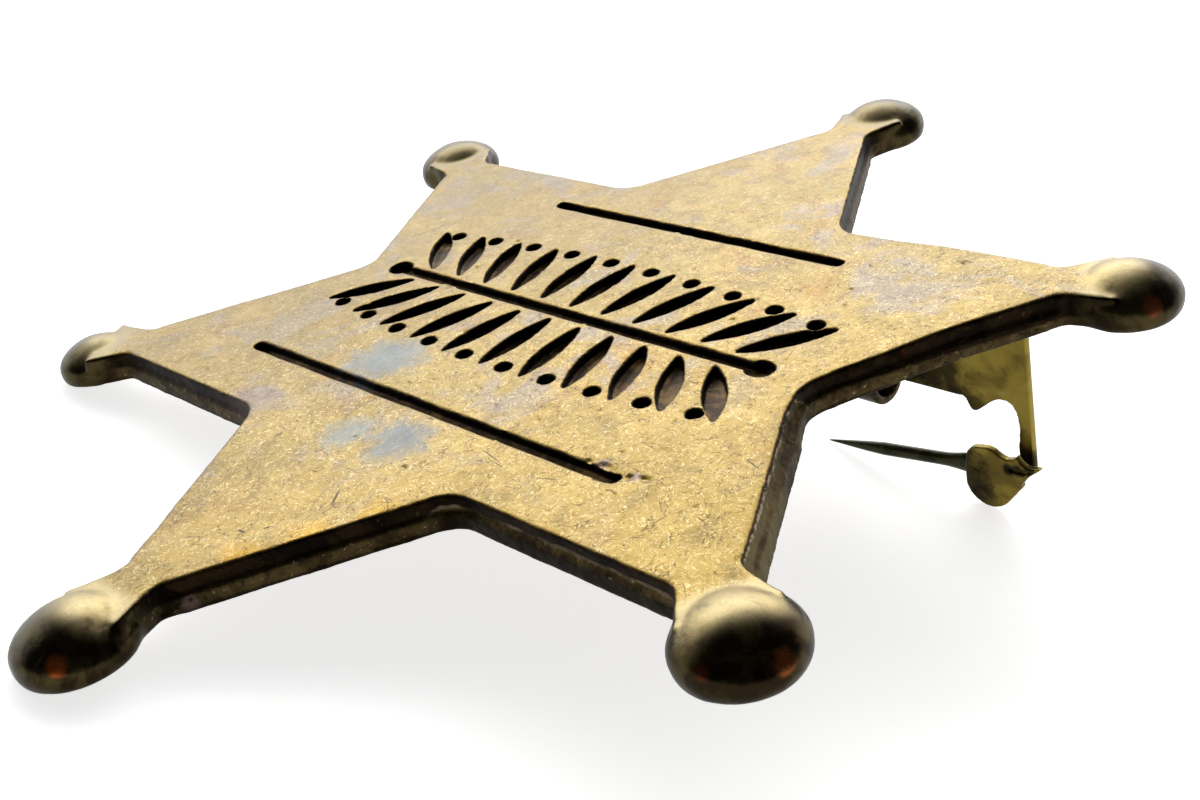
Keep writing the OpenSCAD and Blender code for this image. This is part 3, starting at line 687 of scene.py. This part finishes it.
def placed(thing, x, y, angle=0):
    thing.location = (x, y, 0)
    thing.rotation_euler = (0, 0, math.radians(angle))
    applyPlace(thing)
    return thing


cutters = [placed(cutterFrom(stadium(sunk["upper"][0], sunk["line"]), "upperLine"), 0, sunk["upper"][1]),
           placed(cutterFrom(stadium(sunk["lower"][0], sunk["line"]), "lowerLine"), 0, sunk["lower"][1])]
leaf = cutterFrom(leafOutline(), "leaf")
for i in range(sunk["steps"]):
    for right in ([1] if i == 0 else [-1, 1]):
        for top in (-1, 1):
            new = copyOf(leaf, "leafCut")
            cutters.append(placed(new, right * i * sunk["pitch"], sunk["sprayAt"] + top * sunk["root"],
                                  top * (90 - right * sunk["lean"] * i)))
berry = cutterFrom(stadium(2 * sunk["berry"] + 0.001, 2 * sunk["berry"], 12), "berry")
for i in range(sunk["steps"] - 1):
    lean = math.radians(90 - sunk["lean"] * (i + 0.5))
    for right in (-1, 1):
        for top in (-1, 1):
            cutters.append(placed(copyOf(berry, "berryCut"),
                                  right * ((i + 0.5) * sunk["pitch"] + sunk["berryOut"] * math.cos(lean)),
                                  sunk["sprayAt"] + top * sunk["berryOut"] * math.sin(lean)))
bulb = [(sunk["stem"] + 0.3 + sunk["stemWide"] * math.cos(a), sunk["stemWide"] * math.sin(a))
        for a in np.linspace(-math.radians(150), math.radians(150), 22)]
cutters.append(placed(cutterFrom(bulb + [(-x, -y) for x, y in bulb], "stem"), 0, sunk["sprayAt"]))

# Chips and pits
chips = {
    "radius": 0.3, "voxel": 0.09, "seed": 4,
    "groove": [(13.5, -10.35), (14.6, -10.3), (15.3, -10.42), (16.4, -10.45), (14.9, -11.42), (17.2, -10.2)],
    "wall": [(2.35, -27.6, -1.15, 0.55)],   # x, y, z, size
    "wallAngle": 120, "wallStretch": (3.5, 1.6, 0.9),
    "pits": 60, "pitsOut": 25, "pitLevel": (0.17, 0.24),
}
deselect()
bpy.ops.mesh.primitive_ico_sphere_add(subdivisions=2, radius=chips["radius"])
nick = named("nick")
dice = random.Random(chips["seed"])
nicks = []


# one more shallow hollow
def nicked(x, y, level, angle=0, size=(1, 1, 1)):
    new = copyOf(nick, "nickCut")
    new.location = (x, y, level)
    new.rotation_euler = (0, 0, math.radians(angle))
    new.scale = size
    applyPlace(new)
    nicks.append(new)


for x, y in chips["groove"]:
    nicked(x, y, dice.uniform(0.12, 0.22), dice.uniform(-30, 30),
           (dice.uniform(0.8, 2.4), dice.uniform(0.6, 1.2), 1))
for x, y, level, size in chips["wall"]:
    nicked(x, y, level, chips["wallAngle"], [size * stretch for stretch in chips["wallStretch"]])
for i in range(chips["pits"]):
    away, angle = chips["pitsOut"] * math.sqrt(dice.random()), math.tau * dice.random()
    nicked(away * math.cos(angle), away * math.sin(angle), dice.uniform(*chips["pitLevel"]), 0,
           (dice.uniform(0.8, 1.3), 1, 1))
for spare in (leaf, berry, nick):
    bpy.data.objects.remove(spare)
nicks = join(nicks, "nicks")
modify(nicks, "REMESH", mode="VOXEL", voxel_size=chips["voxel"])
modify(starPiece, "BOOLEAN", operation="DIFFERENCE", object=nicks, solver="EXACT")
bpy.data.objects.remove(nicks)
cutter = join(cutters, "sunkShapes")
modify(starPiece, "BOOLEAN", operation="DIFFERENCE", object=cutter, solver="EXACT")
bpy.data.objects.remove(cutter)
print("ornament cut", len(starPiece.data.polygons))
modify(starPiece, "REMESH", mode="VOXEL", voxel_size=star["fineVoxel"])
modify(starPiece, "SMOOTH", factor=0.5, iterations=2)
co = placesOf(starPiece)
onBalls = np.hypot(co[:, 0], co[:, 1]) > star["ballsFrom"]
leanedOut(co)
bent(co)
putPlaces(starPiece, co)
# the walls are cast rougher than the face, so they are moved more the steeper they are
normals = np.empty(len(starPiece.data.vertices) * 3)
starPiece.data.vertex_normals.foreach_get("vector", normals)
steep = np.clip((star["wallFrom"] - np.abs(normals[2::3])) / star["wallOver"], 0, 1)
steep *= np.where(onBalls, star["ballsUneven"], 1.0)
walls = starPiece.vertex_groups.new(name="walls")
for grade in range(1, star["grades"] + 1):
    inGrade = np.nonzero(np.ceil(steep * star["grades"]) == grade)[0]
    walls.add([int(i) for i in inGrade], grade / star["grades"], "REPLACE")
for name, period, swing, where in star["uneven"]:
    texture = bpy.data.textures.new(name, "CLOUDS")
    texture.noise_scale = period
    modify(starPiece, "DISPLACE", texture=texture, strength=swing, mid_level=0.5, texture_coords="LOCAL",
           vertex_group=where)
starPiece.vertex_groups.clear()
modify(starPiece, "DECIMATE", ratio=star["keep"])
finishPiece(starPiece, "badge", "star", castBrass)

# Pin frame: the bent sheet of the model, with its stamped curves, its folded foot and its worn edges
pinFrame = {
    "voxel": 0.07, "soften": 5, "keep": 0.3,
    "corner": [(18.6, -7.2), (18.92, -7.66), (19.19, -7.82), (19.37, -8.22), (19.51, -8.46), (19.73, -8.53),
               (19.97, -8.4), (20.29, -8.14), (20.74, -7.73), (21.15, -7.44), (21.52, -7.29)],
    "cornerEnd": (21.7, -7.0),
    "arch": [(21.92, -7.28), (22.26, -7.47), (22.49, -7.87), (22.6, -8.34), (22.63, -9.0), (22.58, -9.69),
             (22.5, -10.1), (20.0, -9.8), (18.0, -8.8)],
    "foot": [(19.72, -12.0), (19.76, -11.0), (19.9, -10.45), (20.2, -10.1), (20.6, -9.95), (21.3, -9.82),
             (21.7, -9.92), (22.1, -10.18), (22.5, -10.28), (22.9, -10.15), (23.2, -9.9), (23.42, -10.25),
             (23.74, -10.45), (24.2, -10.42), (24.62, -10.3), (24.68, -10.36), (24.3, -10.7), (23.95, -11.0),
             (23.6, -11.44), (23.23, -12.08), (22.86, -12.69), (22.4, -13.3), (21.8, -12.6)],
    "hollow": [(21.9, -13.8), (22.15, -13.1), (22.45, -12.5), (22.8, -12.05), (23.15, -11.7), (23.6, -11.45),
               (24.2, -11.5), (24.0, -13.8)],
    "crease": [(22.15, -10.6), (22.6, -10.8), (23.6, -10.68), (24.1, -10.55), (24.1, -10.7), (23.6, -11.0),
               (22.8, -11.02)],
    "web": (13.0, 13.5), "near": (11.6, 12.1), "far": (12.12, 13.7), "creaseDepth": (11.5, 11.8),   # along y
    "cutPast": 0.2, "bendFrom": -5.0, "bendOver": 2.5,
}


# a flat outline, given as x and z, stood upright and given its thickness along y
def sheetCut(points, low, high, name):
    deselect()
    bpy.ops.mesh.primitive_circle_add(vertices=len(points), radius=1, fill_type="NGON")
    thing = named(name)
    for v, (x, z) in zip(thing.data.vertices, points):
        v.co = (x, low, z)
    bpy.ops.object.mode_set(mode="EDIT")
    bpy.ops.mesh.select_all(action="SELECT")
    bpy.ops.mesh.extrude_region_move(TRANSFORM_OT_translate={"value": (0, high - low, 0)})
    mergeAndTurnOut(thing)
    return thing


pinPiece = copyOf(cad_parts["pin_frame"], "pinFrame")
pinPiece.parent = None
pinPiece.matrix_world = layDown.inverted()
applyPlace(pinPiece)
mergeAndTurnOut(pinPiece, 0.001)
webLow, webHigh = pinFrame["web"]
pinPiece = join([pinPiece, sheetCut(pinFrame["corner"] + [pinFrame["cornerEnd"]], webLow, webHigh, "corner"),
                 sheetCut(pinFrame["foot"], *pinFrame["near"], "foot")], "pinFrame")
modify(pinPiece, "REMESH", mode="VOXEL", voxel_size=pinFrame["voxel"])
throughWeb = (webLow - pinFrame["cutPast"], webHigh + pinFrame["cutPast"])
for points, (low, high) in ((pinFrame["corner"][1:] + pinFrame["arch"], throughWeb),
                            (pinFrame["hollow"], pinFrame["far"]),
                            (pinFrame["crease"], pinFrame["creaseDepth"])):
    cutter = sheetCut(points, low, high, "sheetCutter")
    modify(pinPiece, "BOOLEAN", operation="DIFFERENCE", object=cutter, solver="EXACT")
    bpy.data.objects.remove(cutter)
modify(pinPiece, "REMESH", mode="VOXEL", voxel_size=pinFrame["voxel"])
modify(pinPiece, "SMOOTH", factor=0.5, iterations=pinFrame["soften"])
modify(pinPiece, "DECIMATE", ratio=pinFrame["keep"])
co = placesOf(pinPiece)
bent(co, np.clip((co[:, 2] - pinFrame["bendFrom"]) / pinFrame["bendOver"], 0, 1))   # the flange follows the arm
putPlaces(pinPiece, co)
finishPiece(pinPiece, "badge", "pin_frame", pinSheet)

# Needle: drawn wire, flattened towards its eye, with a long slim point
needle = {
    "pivot": (20.382, 12.55, -11.8), "droop": 8.1146, "eye": 1.0, "thick": 0.8, "bore": 0.39, "eyeEdge": 0.12,
    "rings": [   # distance from the hinge, half width, half height
        (0.55, 0.4, 0.62), (1.0, 0.4, 0.64), (1.4, 0.4, 0.6), (1.9, 0.4, 0.5), (2.5, 0.4, 0.42),
        (3.2, 0.4, 0.4), (5.2, 0.4, 0.4), (7.3, 0.4, 0.4), (8.4, 0.33, 0.33), (9.6, 0.23, 0.23),
        (10.7, 0.13, 0.13), (11.4, 0.07, 0.07), (11.69, 0.03, 0.03),
    ],
}
deselect()
bpy.ops.mesh.primitive_circle_add(vertices=32, radius=1, fill_type="NGON", rotation=(0, -math.pi / 2, 0))
wire = named("needleWire")
applyPlace(wire)
first = needle["rings"][0]
bpy.ops.object.mode_set(mode="EDIT")
bpy.ops.mesh.select_all(action="SELECT")
bpy.ops.transform.resize(value=(1, first[1], first[2]), center_override=(0, 0, 0))
bpy.ops.transform.translate(value=(-first[0], 0, 0))
for before, after in zip(needle["rings"], needle["rings"][1:]):
    bpy.ops.mesh.extrude_region_move(TRANSFORM_OT_translate={"value": (before[0] - after[0], 0, 0)})
    bpy.ops.transform.resize(value=(1, after[1] / before[1], after[2] / before[2]),
                             center_override=(-after[0], 0, 0))
mergeAndTurnOut(wire)
deselect()
bpy.ops.mesh.primitive_cylinder_add(vertices=64, radius=needle["eye"], depth=needle["thick"],
                                    rotation=(math.pi / 2, 0, 0))
eye = named("eye")
applyPlace(eye)
modify(eye, "BEVEL", width=needle["eyeEdge"], segments=3, limit_method="ANGLE")
deselect()
bpy.ops.mesh.primitive_cylinder_add(vertices=48, radius=needle["bore"], depth=2, rotation=(math.pi / 2, 0, 0))
bore = named("bore")
applyPlace(bore)
modify(wire, "BOOLEAN", operation="UNION", object=eye, solver="EXACT")
modify(wire, "BOOLEAN", operation="DIFFERENCE", object=bore, solver="EXACT")
for spare in (eye, bore):
    bpy.data.objects.remove(spare)
wire.rotation_euler = (0, -math.radians(needle["droop"]), 0)
wire.location = needle["pivot"]
applyPlace(wire)
finishPiece(wire, "needle", "needle", pinWire)
pick(wire)
bpy.ops.object.shade_smooth_by_angle(angle=math.radians(40))

# Rivet: cut flush, with its rims rubbed round
rivet = {"radius": 0.33, "from": 11.6, "to": 13.5, "proud": 0.03, "edge": 0.07, "at": (20.382, -11.8)}
deselect()
bpy.ops.mesh.primitive_cylinder_add(
    vertices=48, radius=rivet["radius"], depth=rivet["to"] - rivet["from"] + 2 * rivet["proud"],
    rotation=(math.pi / 2, 0, 0), location=(rivet["at"][0], (rivet["from"] + rivet["to"]) / 2, rivet["at"][1]))
pinRivet = named("hingeRivet")
applyPlace(pinRivet)
modify(pinRivet, "BEVEL", width=rivet["edge"], segments=4, limit_method="ANGLE")
finishPiece(pinRivet, "badge", "hinge_rivet", rivetEnd)
pick(pinRivet)
bpy.ops.object.shade_smooth_by_angle(angle=math.radians(40))
print("pin done")

# Floor and light: pale paper that glows as painted light, a soft box above and behind the badge, and a dim room
# on the camera's side
studio = {
    "floorSize": 6.0, "paper": ("#F2F2F0", "#F7F7F5"), "paperRough": 0.9, "paperMottle": 0.004,   # m
    "tableGlow": 0.4, "tableGlowSeen": 0.75,
    "farWay": (-0.6816, 0.5457, 0), "box": (0.7, 0.3), "boxAway": 0.5, "boxUp": 0.36, "boxGlow": 2.6,
    "brightGlow": 1.7, "brightTo": -0.35, "darkGlow": 0.04, "darkFrom": 0.15,
}
deselect()
bpy.ops.mesh.primitive_plane_add(size=studio["floorSize"], location=(0, 0, 0))
floor = named("floor")
paper, tree, shader = newMaterial("paleGlowingPaper")   # matt backdrop paper, with the faintest mottle; it glows as painted light, faintly for the light it casts and brighter where the camera sees it
place = add(tree, "TexCoord", {}, "Object")
grain = add(tree, "TexNoise", {"Vector": place, "Scale": 1 / studio["paperMottle"]})
darker, paler = (linear(code) for code in studio["paper"])
colour = add(tree, "Mix", {0: grain, 6: darker, 7: paler}, 2, data_type="RGBA")
tree.links.new(colour, shader.inputs["Base Color"])
shader.inputs["Roughness"].default_value = studio["paperRough"]
shader.inputs["Emission Color"].default_value = linear("#FFFFFF")
seen = add(tree, "LightPath", {}, "Is Camera Ray")
lit = add(tree, "Mix", {0: seen, 2: studio["tableGlow"], 3: studio["tableGlowSeen"]}, data_type="FLOAT")
tree.links.new(lit, shader.inputs["Emission Strength"])
floor.data.materials.append(paper)

farWay = layTurn @ Vector(studio["farWay"])
farWay = Vector((farWay.x, farWay.y, 0)).normalized()
world = bpy.data.worlds.new("studio")
world.use_nodes = True
bpy.context.scene.world = world
tree = world.node_tree
tree.nodes.clear()
out = tree.nodes.new("ShaderNodeOutputWorld")
along = add(tree, "VectorMath", {0: add(tree, "TexCoord", {}, "Generated"), 1: tuple(backWay)}, 1,
            operation="DOT_PRODUCT")
glow = add(tree, "MapRange", {
    0: along, 1: studio["brightTo"], 2: studio["darkFrom"], 3: studio["brightGlow"], 4: studio["darkGlow"],
}, interpolation_type="SMOOTHSTEP")
seen = add(tree, "LightPath", {}, "Is Camera Ray")
strength = add(tree, "Mix", {0: seen, 2: glow, 3: 1.0}, data_type="FLOAT")
tree.links.new(add(tree, "Background", {0: linear("#FFFFFF"), 1: strength}), out.inputs[0])

boxData = bpy.data.lights.new("softBox", "AREA")
boxData.shape = "RECTANGLE"
boxData.size, boxData.size_y = studio["box"]
boxData.energy = studio["boxGlow"] * math.pi * boxData.size * boxData.size_y
softBox = bpy.data.objects.new("softBox", boxData)
bpy.context.scene.collection.objects.link(softBox)
softBox.location = farWay * studio["boxAway"] + Vector((0, 0, studio["boxUp"]))
softBox.rotation_euler = (-softBox.location).to_track_quat("-Z", "Y").to_euler()
bpy.context.scene.view_settings.view_transform = "Standard"
print("studio set")
